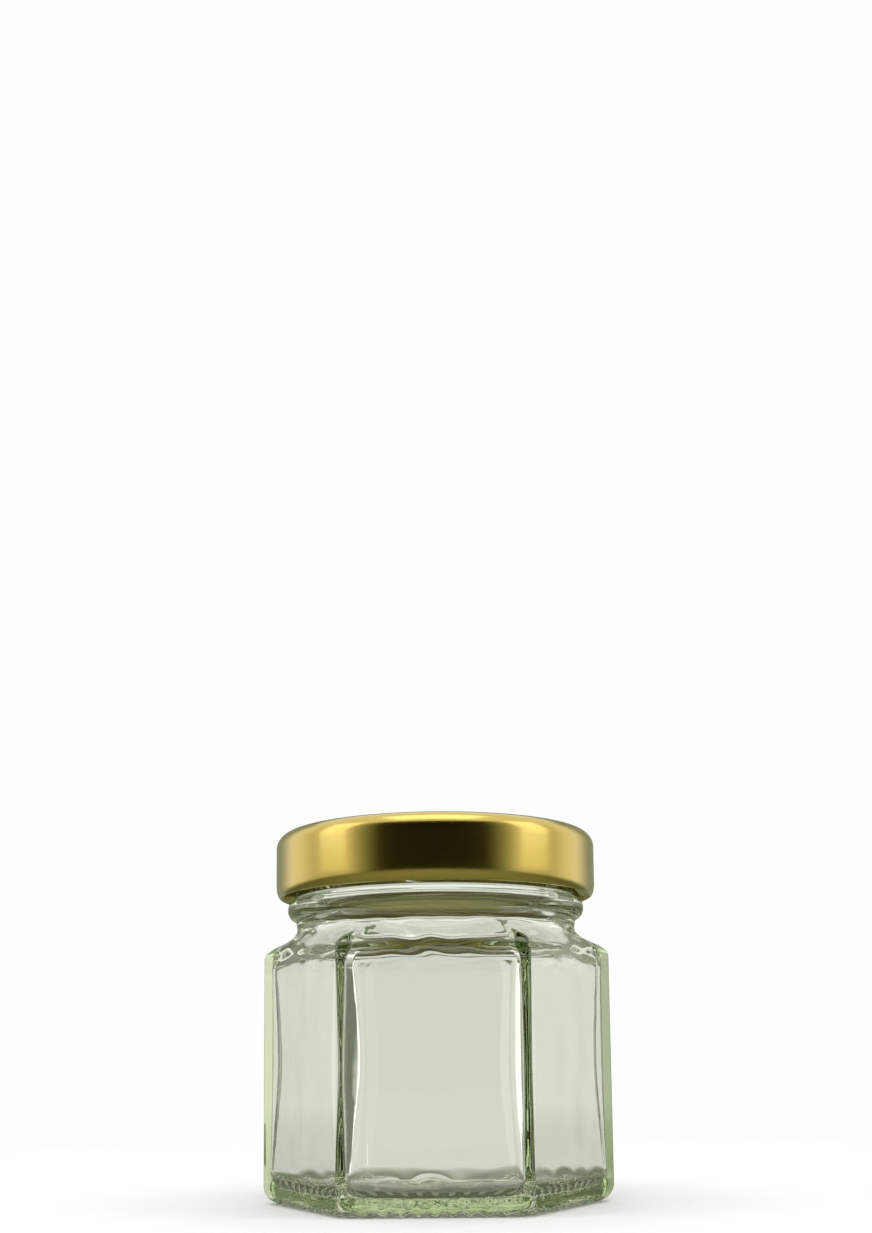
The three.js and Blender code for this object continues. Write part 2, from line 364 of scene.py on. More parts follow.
# %% Inside: bore, heel and floor
INNER_HEEL_INSET, INNER_HEEL_CORNER, FLOOR_EDGE = 2.2, 12.0, 2.2
FLOOR_TOP, DOME_R = 3.9, 14.0
BORE_BOTTOM = 38.0
FLOOR_WAVES = ((0.9, 0.5, 0, 0.09), (-0.4, 1.3, 2, 0.09), (0.6, -1.1, 4, 0.09),
               (2.2, 1.5, 1, 0.03), (1.6, -2.3, 5, 0.03))


def inner_rings():
    bore = [ring(ANGLES, BORE_R, z) for z in np.linspace(RIM_TOP - RIM_ROUND, BORE_BOTTOM, 5)[1:]]
    walls = waved(wall_rings(), WALL_WAVE)
    edge_apothem = APOTHEM - WALL_THICKNESS[0] - INNER_HEEL_INSET
    floor_edge = ring(ANGLES, hex_radius(edge_apothem, INNER_HEEL_CORNER), FLOOR_EDGE)
    heel = []
    for turn in np.linspace(0, math.pi / 2, 14)[1:]:
        share = np.array([1 - math.cos(turn), 1 - math.cos(turn), math.sin(turn)])
        heel.append(walls[-1] + (floor_edge - walls[-1]) * share)
    shoulder = waved(s_curve(bore[-1], walls[0], 18), SHOULDER_WAVE)
    return bore + shoulder + walls + waved(heel, INNER_HEEL_WAVE) + floor_rings(floor_edge)


def floor_rings(edge):
    """The floor with its low dome, and waves that fade at its middle and its edge."""
    rings = []
    for share in np.linspace(1, 0, 27)[1:-1]:
        points = edge * np.array([share, share, 0])
        round_radius = share * np.hypot(edge[:, 0], edge[:, 1]).min()
        direction = points[:, :2] / np.hypot(points[:, 0], points[:, 1])[:, None]
        points[:, :2] = points[:, :2] * share ** 2 + direction * round_radius * (1 - share ** 2)
        x, y = points[:, 0], points[:, 1]
        inwards = np.clip(1 - (np.hypot(x, y) / DOME_R) ** 2, 0, 1)
        dome = FLOOR_EDGE + (FLOOR_TOP - FLOOR_EDGE) * inwards ** 2
        points[:, 2] = dome + crossed_waves(x, y, FLOOR_WAVES) * share * (1 - share ** 4)
        rings.append(points)
    return rings


GLASS_RINGS = base_rings() + body_rings() + finish_rings() + inner_rings()
glass = mesh_from_rings("glass_jar", GLASS_RINGS, PUSH_UP, FLOOR_TOP)

# %% [markdown]
# Jar glass is soda-lime glass, pressed and blown in an iron mould. It is clear with a trace of iron,
# so it looks colourless where light crosses a thin wall and grey-green where it runs a long way
# inside, at the corners and in the thick base. A tinted surface would colour every spot alike.
# Absorption in the volume colours by the length of the path, as the real glass does.

# %% Material: soda-lime glass
GLASS_IOR = 1.52
GLASS_TINT, GLASS_DENSITY = "#E9F6CD", 40.0


def make_glass_material():
    material = new_material("soda_lime_glass_moulded")
    tree = material.node_tree
    shader = add_node(tree, "ShaderNodeBsdfPrincipled", None, Base_Color=(1, 1, 1, 1),
                      Roughness=0.0, IOR=GLASS_IOR, Transmission_Weight=1.0)
    depth = add_node(tree, "ShaderNodeVolumeAbsorption", None,
                     Color=linear(GLASS_TINT), Density=GLASS_DENSITY)
    out = add_node(tree, "ShaderNodeOutputMaterial", None, Surface=shader.outputs["BSDF"])
    tree.links.new(depth.outputs["Volume"], out.inputs["Volume"])
    return material


GLASS = make_glass_material()
KEPT = [math.exp(-GLASS_DENSITY * (1 - channel) * 10 * MM) for channel in linear(GLASS_TINT)[:3]]
print("red, green and blue light left after 10 mm of glass", np.round(KEPT, 2))

# %% [markdown]
# Two pieces of this object repeat by a rule, the knurls under the glass and the lugs of the lid.
# Geometry Nodes suit that: the rule is written once, and its sizes are named inputs. These helpers
# start a tree, end it with real mesh and a material, and keep its result as a plain mesh.

# %% Helpers for Geometry Nodes
def socket_id(tree, name):
    return next(item.identifier for item in tree.interface.items_tree
                if item.name == name and item.in_out == "INPUT")


def apply_tree(made, tree, **values):
    """Runs a node tree on an object with its named inputs, and keeps the result as plain mesh."""
    modifier = made.modifiers.new(tree.name, "NODES")
    modifier.node_group = tree
    for name, value in values.items():
        modifier[socket_id(tree, name.replace("_", " "))] = value
    bpy.context.view_layer.update()
    depsgraph = bpy.context.evaluated_depsgraph_get()
    result = bpy.data.meshes.new_from_object(made.evaluated_get(depsgraph), depsgraph=depsgraph)
    made.modifiers.remove(modifier)
    old, made.data = made.data, result
    bpy.data.meshes.remove(old)
    result.name = made.name
    print(made.name, "after", tree.name, "has", len(result.polygons), "faces")


def new_tree(name, inputs):
    tree = bpy.data.node_groups.new(name, "GeometryNodeTree")
    tree.interface.new_socket("Geometry", in_out="INPUT", socket_type="NodeSocketGeometry")
    for label, kind in inputs.items():
        tree.interface.new_socket(label, in_out="INPUT", socket_type=kind)
    tree.interface.new_socket("Geometry", in_out="OUTPUT", socket_type="NodeSocketGeometry")
    return tree, add_node(tree, "NodeGroupInput")


def end_tree(tree, geometry, material):
    real = add_node(tree, "GeometryNodeRealizeInstances", None, Geometry=geometry)
    dressed = add_node(tree, "GeometryNodeSetMaterial", None, Geometry=real.outputs["Geometry"])
    dressed.inputs["Material"].default_value = material
    add_node(tree, "NodeGroupOutput", None, Geometry=dressed.outputs["Geometry"])


# %% [markdown]
# The bearing ring under the jar is knurled: short ribs keep the glass off cold or wet surfaces. The
# tree lifts the ring's points into grooves by their direction round the axis, and lets the lift
# fade with height. Cutting sixty grooves with booleans would give the same look with far worse
# faces.

# %% Knurled bearing ring with Geometry Nodes
KNURLS = 60
KNURL_DEPTH = 0.5
KNURL_FADE = 0.9
RIB_END, GROOVE_START = 0.02, 0.44


def knurl_tree(material):
    """A knurl runs from the middle of its rib at 0 to the middle of its groove at 0.5."""
    tree, given = new_tree("knurled_ring", {"Teeth": "NodeSocketInt", "Depth": "NodeSocketFloat",
                                            "Fade Height": "NodeSocketFloat"})
    place = add_node(tree, "GeometryNodeInputPosition")
    split = add_node(tree, "ShaderNodeSeparateXYZ", None, Vector=place.outputs["Position"])
    turn = add_node(tree, "ShaderNodeMath", {"operation": "ARCTAN2"},
                    i0=split.outputs["Y"], i1=split.outputs["X"])
    turns = add_node(tree, "ShaderNodeMath", {"operation": "DIVIDE"}, i0=turn.outputs[0], i1=math.tau)
    teeth = add_node(tree, "ShaderNodeMath", {"operation": "MULTIPLY"},
                     i0=turns.outputs[0], i1=given.outputs["Teeth"])
    wave = add_node(tree, "ShaderNodeMath", {"operation": "PINGPONG"}, i0=teeth.outputs[0], i1=0.5)
    tooth = add_node(tree, "ShaderNodeMapRange", {"interpolation_type": "SMOOTHSTEP"},
                     Value=wave.outputs[0], From_Min=RIB_END, From_Max=GROOVE_START)
    fade = add_node(tree, "ShaderNodeMapRange", None, Value=split.outputs["Z"], From_Min=0.0,
                    From_Max=given.outputs["Fade Height"], To_Min=1.0, To_Max=0.0)
    lift = add_node(tree, "ShaderNodeMath", {"operation": "MULTIPLY"},
                    i0=tooth.outputs[0], i1=fade.outputs[0])
    deep = add_node(tree, "ShaderNodeMath", {"operation": "MULTIPLY"},
                    i0=lift.outputs[0], i1=given.outputs["Depth"])
    offset = add_node(tree, "ShaderNodeCombineXYZ", None, Z=deep.outputs[0])
    moved = add_node(tree, "GeometryNodeSetPosition", None, Geometry=given.outputs["Geometry"],
                     Offset=offset.outputs["Vector"])
    end_tree(tree, moved.outputs["Geometry"], material)
    return tree


apply_tree(glass, knurl_tree(GLASS),
           Teeth=KNURLS, Depth=KNURL_DEPTH * MM, Fade_Height=KNURL_FADE * MM)
print("knurl pitch in mm", round(math.tau * BEARING_OUTER / KNURLS, 2))
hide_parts("jar")
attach(glass, "root")

# %% [markdown]
# The lid is one stamped sheet: a sunk panel, a rounded edge, a straight skirt and a curl where the
# sheet is rolled inwards. A Screw modifier or Spin could turn it from a profile curve. Here its
# outline is drawn once, as straight runs and arcs, and the same ring chain as for the glass turns
# it round the axis, so it stays known which faces are the inside of the sheet.

# %% Lid: outline and turned sheet
LID_R = LID_HIGH[0]
LID_TOP = LID_HIGH[2]
LID_BOTTOM = LID_LOW[2]
SHEET = 0.4
EDGE_R = 2.15
CURL_R = 0.65
CURL_RISE = 1.8
CURL_START = 155
PANEL_R, PANEL_SLOPE, PANEL_DROP = 16.2, 1.0, 0.5
STEP_POINTS = 8


def arc(centre, radius, start, end, steps):
    turns = np.radians(np.linspace(start, end, steps))
    return [(centre[0] + radius * math.cos(a), centre[1] + radius * math.sin(a)) for a in turns]


def eased_step(r_from, z_from, r_to, z_to):
    """A soft S between two heights, without its first point."""
    shares = np.linspace(0, 1, STEP_POINTS + 1)[1:]
    return [(r_from + (r_to - r_from) * s, z_from + (z_to - z_from) * s * s * (3 - 2 * s))
            for s in shares]


def run(r_from, z_from, r_to, z_to, steps):
    shares = np.linspace(0, 1, steps + 1)[1:]
    return [(r_from + (r_to - r_from) * s, z_from + (z_to - z_from) * s) for s in shares]


def lid_outline():
    edge_r, edge_z = LID_R - EDGE_R, LID_TOP - EDGE_R
    under = LID_TOP - SHEET
    curl_r, curl_z = LID_R - CURL_R, LID_BOTTOM + CURL_R
    outline = run(0, under - PANEL_DROP, PANEL_R, under - PANEL_DROP, 4)
    outline += eased_step(PANEL_R, under - PANEL_DROP, PANEL_R + PANEL_SLOPE, under)
    outline += arc((edge_r, edge_z), EDGE_R - SHEET, 90, 0, 10)
    outline += run(LID_R - SHEET, edge_z, LID_R - SHEET, curl_z + 2 * CURL_R, 4)
    outline += arc((curl_r, curl_z), CURL_R, CURL_START, 270, 11)
    outline += [(curl_r + CURL_R * math.sin(a), LID_BOTTOM + CURL_RISE * (1 - math.cos(a)))
                for a in np.radians(np.linspace(0, 90, 13)[1:])]
    outline += run(LID_R, LID_BOTTOM + CURL_RISE, LID_R, edge_z, 8)
    outline += arc((edge_r, edge_z), EDGE_R, 0, 90, 16)[1:]
    outline += run(edge_r, LID_TOP, PANEL_R + PANEL_SLOPE, LID_TOP, 3)
    outline += eased_step(PANEL_R + PANEL_SLOPE, LID_TOP, PANEL_R, LID_TOP - PANEL_DROP)
    outline += run(PANEL_R, LID_TOP - PANEL_DROP, 0, LID_TOP - PANEL_DROP, 5)[:-1]
    return outline


LID_ANGLES = np.arange(240) * math.radians(1.5)
LID_OUTLINE = lid_outline()
INSIDE_RINGS = LID_OUTLINE.index(min(LID_OUTLINE, key=lambda point: point[1]))
LID_RINGS = [ring(LID_ANGLES, r, z) for r, z in LID_OUTLINE]
lid = mesh_from_rings("lid_sheet", LID_RINGS, LID_TOP - SHEET - PANEL_DROP, LID_TOP - PANEL_DROP)

# %% [markdown]
# Scratches have a real length and width, and they have to keep both on the skirt and over the edge.
# Unwrapping would stretch them somewhere. A turned sheet has a better map: the way round the rim is
# one direction, and the way across it is the other, both in real lengths.

# %% Lid: UV map in real lengths
SCRATCH_MAP = "scratch_map"


def map_turned(made):
    """U is the way round the rim and V is the way across it, height less radius, both in m."""
    mesh = made.data
    layer = mesh.uv_layers.new(name=SCRATCH_MAP)
    places = np.empty(len(mesh.vertices) * 3)
    mesh.vertices.foreach_get("co", places)
    places = places.reshape(-1, 3)
    corners = np.empty(len(mesh.loops), dtype=int)
    mesh.loops.foreach_get("vertex_index", corners)
    turn = np.arctan2(places[:, 1], places[:, 0])[corners]
    starts = np.array([p.loop_start for p in mesh.polygons])
    totals = np.array([p.loop_total for p in mesh.polygons])
    first = np.repeat(turn[starts], totals)
    turn = first + (turn - first + math.pi) % math.tau - math.pi
    radial = np.hypot(places[:, 0], places[:, 1])[corners]
    uv = np.stack([turn * LID_R * MM, places[:, 2][corners] - radial], axis=1)
    layer.data.foreach_set("uv", uv.ravel())
    print(made.name, "map spans", (np.ptp(uv, axis=0) / MM).round(1), "mm")


map_turned(lid)

# %% [markdown]
# Under the rim four lugs reach inwards and slide beneath the thread ramps. On the real lid they
# are stretches of the curl pressed flat. They are equal and evenly spaced, so one lug is modelled
# and Geometry Nodes turn copies of it round the axis.

# %% Lugs with Geometry Nodes
LUGS = 4
LUG_FIRST = -99.0
LUG_SWEEP, LUG_TIP, LUG_ROOT = 21.0, 20.5, 22.1
LUG_BOTTOM, LUG_HEIGHT = 43.3, 0.85
LUG_EDGE, LUG_TAPER = 0.2, 0.3


def make_lug():
    """A bent bar with a rounded nose, tapering into the curl at both ends."""
    sections = []
    half = math.radians(LUG_SWEEP / 2)
    middle = LUG_BOTTOM + LUG_HEIGHT / 2
    for turn in np.linspace(-half, half, 25):
        reach = smooth_step(0, LUG_TAPER, 1 - abs(turn) / half)
        tip = LUG_ROOT - LUG_EDGE - (LUG_ROOT - LUG_EDGE - LUG_TIP) * reach
        nose = [(tip + LUG_HEIGHT / 2 * (1 - math.cos(a)), middle + LUG_HEIGHT / 2 * math.sin(a))
                for a in np.radians(np.linspace(-90, 90, 9))]
        outline = [(LUG_ROOT, LUG_BOTTOM + LUG_HEIGHT), (LUG_ROOT, LUG_BOTTOM)] + nose
        sections.append([(r * math.cos(turn), r * math.sin(turn), z) for r, z in outline])
    size = len(sections[0])
    points = np.array(sections).reshape(-1, 3) * MM
    faces = [list(range(size)), list(range(len(points) - 1, len(points) - 1 - size, -1))]
    for k in range(len(sections) - 1):
        for i in range(size):
            j = (i + 1) % size
            faces.append([k * size + i, (k + 1) * size + i, (k + 1) * size + j, k * size + j])
    mesh = bpy.data.meshes.new("lug")
    mesh.from_pydata(points.tolist(), [], faces)
    mesh.shade_smooth()
    made = bpy.data.objects.new("lid_lugs", mesh)
    bpy.context.collection.objects.link(made)
    return made


def ring_of_copies_tree(material):
    tree, given = new_tree("ring_of_copies", {"Count": "NodeSocketInt", "First": "NodeSocketFloat"})
    points = add_node(tree, "GeometryNodePoints", None, Count=given.outputs["Count"])
    index = add_node(tree, "GeometryNodeInputIndex")
    pitch = add_node(tree, "ShaderNodeMath", {"operation": "DIVIDE"},
                     i0=math.tau, i1=given.outputs["Count"])
    turn = add_node(tree, "ShaderNodeMath", {"operation": "MULTIPLY_ADD"},
                    i0=index.outputs[0], i1=pitch.outputs[0], i2=given.outputs["First"])
    euler = add_node(tree, "ShaderNodeCombineXYZ", None, Z=turn.outputs[0])
    copies = add_node(tree, "GeometryNodeInstanceOnPoints", None, Points=points.outputs[0],
                      Instance=given.outputs["Geometry"], Rotation=euler.outputs["Vector"])
    end_tree(tree, copies.outputs["Instances"], material)
    return tree


# %% [markdown]
# The lid is electrolytic tinplate under a transparent gold lacquer. The metal gives the mirror, the
# lacquer gives the yellow and softens the reflection to a satin, and handling leaves fine random
# hairlines. Colour noise alone would look like dirt. The hairlines here are stretched noise in
# several directions, which roughens the lacquer and lifts it a little. A real hairline is about a
# hundredth of a millimetre wide and wouldn't show, so these are drawn a few times as wide.

# %% Material: gold lacquered tinplate
HAIRLINE_LENGTH = 5.0
HAIRLINE_WIDTH = 0.05
HAIRLINE_DEPTH = 0.01
HAIRLINE_DIRECTIONS = (4, 31, 67, 112, 148)
SEED_STEP = 0.37
GOLD_CLOUD = 6.25


def hairlines(tree, where, degrees, seed):
    """Thin streaks in one direction: noise stretched to the length and width of a scratch."""
    turned = add_node(tree, "ShaderNodeMapping", None, Vector=where, Location=(seed, 0, 0),
                      Rotation=(0, 0, math.radians(degrees)))
    per_metre = (1 / (HAIRLINE_LENGTH * MM), 1 / (HAIRLINE_WIDTH * MM), 1)
    stretched = add_node(tree, "ShaderNodeVectorMath", {"operation": "MULTIPLY"},
                         i0=turned.outputs[0], i1=per_metre)
    noise = add_node(tree, "ShaderNodeTexNoise", None, Vector=stretched.outputs[0], Scale=0.5,
                     Detail=1.0, Distortion=0.15)
    return add_node(tree, "ShaderNodeMapRange", None, Value=noise.outputs["Fac"],
                    From_Min=0.65, From_Max=0.76).outputs[0]


def make_gold_material():
    material = new_material("tinplate_gold_lacquer")
    tree = material.node_tree
    uv = add_node(tree, "ShaderNodeUVMap", {"uv_map": SCRATCH_MAP})
    streaks = [hairlines(tree, uv.outputs["UV"], degrees, seed * SEED_STEP)
               for seed, degrees in enumerate(HAIRLINE_DIRECTIONS)]
    lines = streaks[0]
    for streak in streaks[1:]:
        both = add_node(tree, "ShaderNodeMath", {"operation": "MAXIMUM"}, i0=lines, i1=streak)
        lines = both.outputs[0]
    places = add_node(tree, "ShaderNodeTexCoord")
    cloud = add_node(tree, "ShaderNodeTexNoise", None, Vector=places.outputs["Object"],
                     Scale=1 / (GOLD_CLOUD * MM), Detail=3.0)
    tone = add_node(tree, "ShaderNodeMix", {"data_type": "RGBA"}, Factor=cloud.outputs["Fac"])
    tone.inputs["A"].default_value = linear("#D8BD5C")
    tone.inputs["B"].default_value = linear("#CFB24F")
    rough = add_node(tree, "ShaderNodeMapRange", None, Value=lines, To_Min=0.2, To_Max=0.27)
    bump = add_node(tree, "ShaderNodeBump", None, Height=lines, Strength=0.12,
                    Distance=HAIRLINE_DEPTH * MM)
    shader = add_node(tree, "ShaderNodeBsdfPrincipled", None, Base_Color=tone.outputs["Result"],
                      Metallic=1.0, Roughness=rough.outputs[0], Normal=bump.outputs["Normal"],
                      Coat_Weight=1.0, Coat_Roughness=0.07)
    add_node(tree, "ShaderNodeOutputMaterial", None, Surface=shader.outputs["BSDF"])
    return material


GOLD = make_gold_material()
print("hairlines in", len(HAIRLINE_DIRECTIONS), "directions,", HAIRLINE_LENGTH, "mm long")

# %% [markdown]
# Inside, the lid has a lining of epoxy phenolic, a dull golden brown that keeps food off the metal.
# It shows through the glass as the olive bands of the neck and shoulder, so it needs a finish of
# its own: as bright as the outside, it would turn the whole neck yellow.

# %% Material: lining inside the lid
LINING_CLOUD = 11.1


def make_lining_material():
    material = new_material("epoxy_phenolic_lining")
    tree = material.node_tree
    places = add_node(tree, "ShaderNodeTexCoord")
    cloud = add_node(tree, "ShaderNodeTexNoise", None, Vector=places.outputs["Object"],
                     Scale=1 / (LINING_CLOUD * MM), Detail=2.0)
    tone = add_node(tree, "ShaderNodeMix", {"data_type": "RGBA"}, Factor=cloud.outputs["Fac"])
    tone.inputs["A"].default_value = linear("#BDB35D")
    tone.inputs["B"].default_value = linear("#ABA152")
    shader = add_node(tree, "ShaderNodeBsdfPrincipled", None, Base_Color=tone.outputs["Result"],
                      Metallic=0.6, Roughness=0.4)
    add_node(tree, "ShaderNodeOutputMaterial", None, Surface=shader.outputs["BSDF"])
    return material


LINING = make_lining_material()

# %% [markdown]
# The lining goes on the inside faces only. They could be picked by hand or by their normals, but
# the order of the rings says it: the outline starts at the axis under the panel and runs down the
# inside of the skirt to the lowest point of the curl, where the outside starts.

# %% Lid: lacquer outside, lining and lugs inside
def line_inside(made, rings):
    """Gives the lining to the first rings of a turned sheet and to the cap on its first pole."""
    count = len(LID_ANGLES)
    slots = np.zeros(len(made.data.polygons), dtype=int)
    slots[:rings * count] = 1
    slots[-2 * count:-count] = 1
    made.data.materials.append(GOLD)
    made.data.materials.append(LINING)
    made.data.polygons.foreach_set("material_index", slots)
    print("lined faces", int(slots.sum()), "of", len(slots))


line_inside(lid, INSIDE_RINGS)
lugs = make_lug()
map_turned(lugs)
apply_tree(lugs, ring_of_copies_tree(LINING), Count=LUGS, First=math.radians(LUG_FIRST))
for piece in (lid, lugs):
    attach(piece, "root")
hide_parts("lid")

# %% [markdown]
# The seal is plastisol, a soft vinyl compound flowed into the lid and pressed on the glass rim. It
# is off-white and matt, with a shallow groove where the rim has sat. A torus would be a start, but
# a turned outline takes the groove and the rounded edges in one go.

# %% Seal
SEAL_INNER, SEAL_ROUND = 17.9, 0.2
GROOVE_DEPTH, GROOVE_WIDTH = 0.12, 0.6
PLASTISOL_GRAIN = 2.0


def seal_outline():
    low, high, outer = SEAL_LOW[2], SEAL_HIGH[2], SEAL_HIGH[0]
    middle = (SEAL_INNER + outer) / 2
    outline = []
    for r in np.linspace(SEAL_INNER + SEAL_ROUND, outer - SEAL_ROUND, 13):
        groove = GROOVE_DEPTH * math.exp(-((r - middle) / GROOVE_WIDTH) ** 2)
        outline.append((r, low + groove))
    outline += arc((outer - SEAL_ROUND, low + SEAL_ROUND), SEAL_ROUND, -90, 0, 5)[1:]
    outline += arc((outer - SEAL_ROUND, high - SEAL_ROUND), SEAL_ROUND, 0, 90, 5)
    outline += arc((SEAL_INNER + SEAL_ROUND, high - SEAL_ROUND), SEAL_ROUND, 90, 180, 5)
    outline += arc((SEAL_INNER + SEAL_ROUND, low + SEAL_ROUND), SEAL_ROUND, 180, 270, 5)[:-1]
    return outline


def make_seal_material():
    material = new_material("plastisol_off_white")
    tree = material.node_tree
    places = add_node(tree, "ShaderNodeTexCoord")
    cloud = add_node(tree, "ShaderNodeTexNoise", None, Vector=places.outputs["Object"],
                     Scale=1 / (PLASTISOL_GRAIN * MM), Detail=3.0)
    tone = add_node(tree, "ShaderNodeMix", {"data_type": "RGBA"}, Factor=cloud.outputs["Fac"])
    tone.inputs["A"].default_value = linear("#EDE8DA")
    tone.inputs["B"].default_value = linear("#E2DBC8")
    bump = add_node(tree, "ShaderNodeBump", None, Height=cloud.outputs["Fac"], Strength=0.2,
                    Distance=0.05 * MM)
    shader = add_node(tree, "ShaderNodeBsdfPrincipled", None, Base_Color=tone.outputs["Result"],
                      Roughness=0.55, IOR=1.53, Normal=bump.outputs["Normal"])
    add_node(tree, "ShaderNodeOutputMaterial", None, Surface=shader.outputs["BSDF"])
    return material


seal = mesh_from_rings("seal_ring", [ring(LID_ANGLES, r, z) for r, z in seal_outline()])
seal.data.materials.append(make_seal_material())
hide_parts("seal")
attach(seal, "root")

# %% [markdown]
# Clear glass shows what is around it more than it shows itself, so the surroundings are part of
# its look. The jar stands on a pale floor that fades into a pale studio of the same brightness.
# The camera sees this floor and the shadow on it. Rays through the glass or off the lid miss it
# and meet the cards made further down, so no horizon crosses the glass.

# %% Studio: world and floor
BACKDROP = linear("#FDFEFC")
FLOOR_R, FLOOR_CLEAR_FROM, FLOOR_CLEAR_TO = 0.6, 0.05, 0.2
FLOOR_STEPS = 96


def make_world():
    world = bpy.data.worlds.new("pale_studio")
    world.use_nodes = True
    tree = world.node_tree
    tree.nodes.clear()
    shade = add_node(tree, "ShaderNodeBackground", None, Color=BACKDROP, Strength=1.0)
    add_node(tree, "ShaderNodeOutputWorld", None, Surface=shade.outputs[0])
    bpy.context.scene.world = world


def disc_mesh(name, radius, height, steps):
    """A flat disc, with its sizes in metres."""
    rim = np.arange(steps) * math.tau / steps
    mesh = bpy.data.meshes.new(name)
    points = ring(rim, radius / MM, height / MM) * MM
    mesh.from_pydata(points.tolist(), [], [list(range(steps))])
    return mesh


def make_floor():
    """A disc that is pale floor in the middle and fades out, so that no horizon shows."""
    mesh = disc_mesh("floor", FLOOR_R, 0.0, FLOOR_STEPS)
    floor = bpy.data.objects.new("floor", mesh)
    bpy.context.collection.objects.link(floor)
    material = new_material("pale_floor")
    tree = material.node_tree
    places = add_node(tree, "ShaderNodeTexCoord")
    far = add_node(tree, "ShaderNodeVectorMath", {"operation": "LENGTH"}, i0=places.outputs["Object"])
    fade = add_node(tree, "ShaderNodeMapRange", {"interpolation_type": "SMOOTHSTEP"},
                    Value=far.outputs["Value"], From_Min=FLOOR_CLEAR_FROM, From_Max=FLOOR_CLEAR_TO)
    paper = add_node(tree, "ShaderNodeBsdfDiffuse", None, Color=linear("#F6F6F4"))
    clear = add_node(tree, "ShaderNodeBsdfTransparent")
    mixed = add_node(tree, "ShaderNodeMixShader", None, Fac=fade.outputs[0],
                     i1=paper.outputs[0], i2=clear.outputs[0])
    add_node(tree, "ShaderNodeOutputMaterial", None, Surface=mixed.outputs[0])
    mesh.materials.append(material)
    floor.visible_transmission = floor.visible_glossy = False
    print("floor fades from", FLOOR_CLEAR_FROM, "to", FLOOR_CLEAR_TO, "m")


make_world()
make_floor()

# %% [markdown]
# A lid turned round an axis mirrors the room like a round mirror, and a glass corner bends the view
# by up to sixty degrees. Both need light and dark at the right directions. Many lamps and black
# cards could stand there, as in a photographer's studio. A colour ramp on a glowing surface puts
# them all on one thing, and each light and dark is one stop. The dark stops are tinted, because a
# dark room seen through this glass still looks green.

# %% Studio: a glow with light and dark stops
DARK_TINT, BRIGHT_TINT, NEUTRAL_FROM = (0.8, 1.0, 0.5), (1.0, 1.0, 0.93), 0.6


def glow(tree, share, shades, low, high, fades=False):
    """Brightness from stops (value, brightness), where share is 0 at low and 1 at high."""
    ramp = add_node(tree, "ShaderNodeValToRGB", None, Fac=share)
    stops = ramp.color_ramp.elements
    while len(stops) < len(shades):
        stops.new(0.5)
    for stop, (value, bright) in zip(stops, shades):
        stop.position = (value - low) / (high - low)
        lit = min(bright / NEUTRAL_FROM, 1)
        tint = [dark + (pale - dark) * lit for dark, pale in zip(DARK_TINT, BRIGHT_TINT)]
        stop.color = (*(bright * channel for channel in tint), 1)
    if fades:
        stops[-1].color[3] = 0
    light = add_node(tree, "ShaderNodeEmission", None, Color=ramp.outputs["Color"])
    clear = add_node(tree, "ShaderNodeBsdfTransparent")
    mixed = add_node(tree, "ShaderNodeMixShader", None, Fac=ramp.outputs["Alpha"],
                     i1=clear.outputs[0], i2=light.outputs[0])
    add_node(tree, "ShaderNodeOutputMaterial", None, Surface=mixed.outputs[0])


# %% [markdown]
# The glow goes on tall rings round the jar, where brightness changes with the direction, and on
# flat cards under it, where it changes with the distance. Each of them meets one kind of ray only,
# those mirrored by a surface or those that come through the glass. The camera doesn't see them, and
# they cast no shadow, so what the glass shows can be set without a change to the backdrop.

# %% Studio: rings and cards
RING_STEPS = 96
CARD_STEPS = 64
CARD_HEIGHT = 0.0002


def stage_card(name, mesh, rays, ahead=0.0):
    """A thing of the studio that only mirrored rays meet, or only those through the glass."""
    made = bpy.data.objects.new(name, mesh)
    made.location.y = -ahead
    bpy.context.collection.objects.link(made)
    made.visible_camera = made.visible_diffuse = made.visible_shadow = False
    made.visible_glossy = rays == "mirrored"
    made.visible_transmission = rays == "through"
    print(name, "meets rays that are" if rays == "mirrored" else "meets rays that come", rays)


def both_sides(shades):
    """The same stops to the left as to the right of the front."""
    return [(-degrees, bright) for degrees, bright in reversed(shades[1:])] + list(shades)


def studio_ring(name, radius, low, high, shades, rays):
    """shades are stops (degrees to the right of the front, brightness) from -180 to 180."""
    around = np.arange(RING_STEPS) * math.tau / RING_STEPS
    points = np.concatenate([ring(around, radius / MM, z / MM) for z in (low, high)])
    faces = [[RING_STEPS + i, RING_STEPS + (i + 1) % RING_STEPS, (i + 1) % RING_STEPS, i]
             for i in range(RING_STEPS)]
    mesh = bpy.data.meshes.new(name)
    mesh.from_pydata((points * MM).tolist(), [], faces)
    material = new_material(name)
    tree = material.node_tree
    places = add_node(tree, "ShaderNodeTexCoord")
    split = add_node(tree, "ShaderNodeSeparateXYZ", None, Vector=places.outputs["Object"])
    front = add_node(tree, "ShaderNodeMath", {"operation": "MULTIPLY"},
                     i0=split.outputs["Y"], i1=-1.0)
    azimuth = add_node(tree, "ShaderNodeMath", {"operation": "ARCTAN2"},
                       i0=split.outputs["X"], i1=front.outputs[0])
    share = add_node(tree, "ShaderNodeMath", {"operation": "MULTIPLY_ADD"},
                     i0=azimuth.outputs[0], i1=1 / math.tau, i2=0.5)
    glow(tree, share.outputs[0], shades, -180, 180)
    mesh.materials.append(material)
    stage_card(name, mesh, rays)


